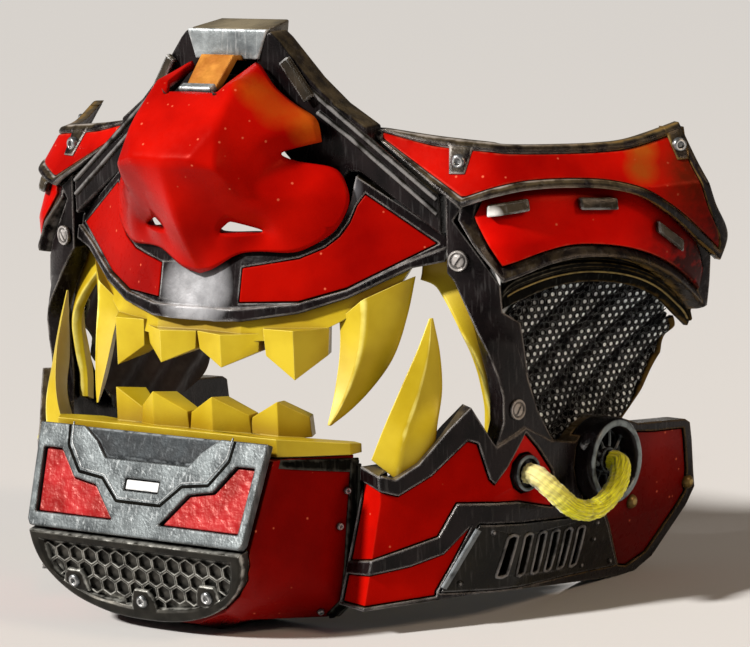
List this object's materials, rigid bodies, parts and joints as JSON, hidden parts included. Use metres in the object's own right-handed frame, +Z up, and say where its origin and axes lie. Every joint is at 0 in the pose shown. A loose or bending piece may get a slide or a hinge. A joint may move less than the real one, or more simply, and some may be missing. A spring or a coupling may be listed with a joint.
{
  "type": "oni half mask",
  "caption": "Half face mask in the form of an oni: red armour panels in dark frames, gold teeth and fangs, mesh side vents, a looped cord on each jaw; worn below the eyes.",
  "frame": {"origin": "centre of the bounding box's underside, on the plane the chin and jaw stand on", "axes": "+Z up, -Y the way the face looks, +X the wearer's left"},
  "size_m": [0.2186, 0.1383, 0.1521],
  "materials": {
    "red_lacquer": "worn red lacquer over resin",
    "gunmetal": "gunmetal paint with silver dry-brushed edges",
    "pewter": "pewter paint, dry-brushed",
    "black_enamel": "black enamel, scratched",
    "vent_mesh": "black wire mesh",
    "gold_paint": "gold-yellow satin paint",
    "copper": "copper paint",
    "cord": "fibrous yellow cord",
    "white_lens": "white, unlit"
  },
  "bodies": {
    "root": {"cheek_frame_left": "gunmetal", "cheek_frame_right": "gunmetal", "cheek_panel_left": "red_lacquer", "cheek_panel_right": "red_lacquer", "band_frame_left": "gunmetal", "band_frame_right": "gunmetal", "band_panel_left": "red_lacquer", "band_panel_right": "red_lacquer", "band_clip_1_left": "pewter", "band_clip_1_right": "pewter", "band_clip_2_left": "pewter", "band_clip_2_right": "pewter", "band_clip_3_left": "pewter", "band_clip_3_right": "pewter", "vent_arch_left": "black_enamel", "vent_arch_right": "black_enamel", "vent_mesh_left": "vent_mesh", "vent_mesh_right": "vent_mesh", "jaw_frame_left": "gunmetal", "jaw_frame_right": "gunmetal", "jaw_panel_upper_left": "red_lacquer", "jaw_panel_upper_right": "red_lacquer", "jaw_panel_lower_left": "red_lacquer", "jaw_panel_lower_right": "red_lacquer", "jaw_panel_rear_left": "red_lacquer", "jaw_panel_rear_right": "red_lacquer", "jaw_vent_left": "black_enamel", "jaw_vent_right": "black_enamel", "mouth_lining_left": "gold_paint", "mouth_lining_right": "gold_paint", "hub_left": "gunmetal", "hub_right": "gunmetal", "grommet_left": "gunmetal", "grommet_right": "gunmetal", "cord_left": "cord", "cord_right": "cord", "lip_frame": "gunmetal", "lip_panel_left": "red_lacquer", "lip_panel_right": "red_lacquer", "upper_teeth": "gold_paint", "lower_teeth": "gold_paint", "upper_fang_left": "gold_paint", "upper_fang_right": "gold_paint", "lower_fang_left": "gold_paint", "lower_fang_right": "gold_paint", "brow_bracket": "gunmetal", "nose": "red_lacquer", "nose_tab": "copper", "bracket_clip_left": "pewter", "bracket_clip_right": "pewter", "chin_plate": "pewter", "chin_insert_left": "red_lacquer", "chin_insert_right": "red_lacquer", "chin_light": "white_lens", "chin_grille": "black_enamel", "chin_box": "red_lacquer"}
  },
  "joints": []
}
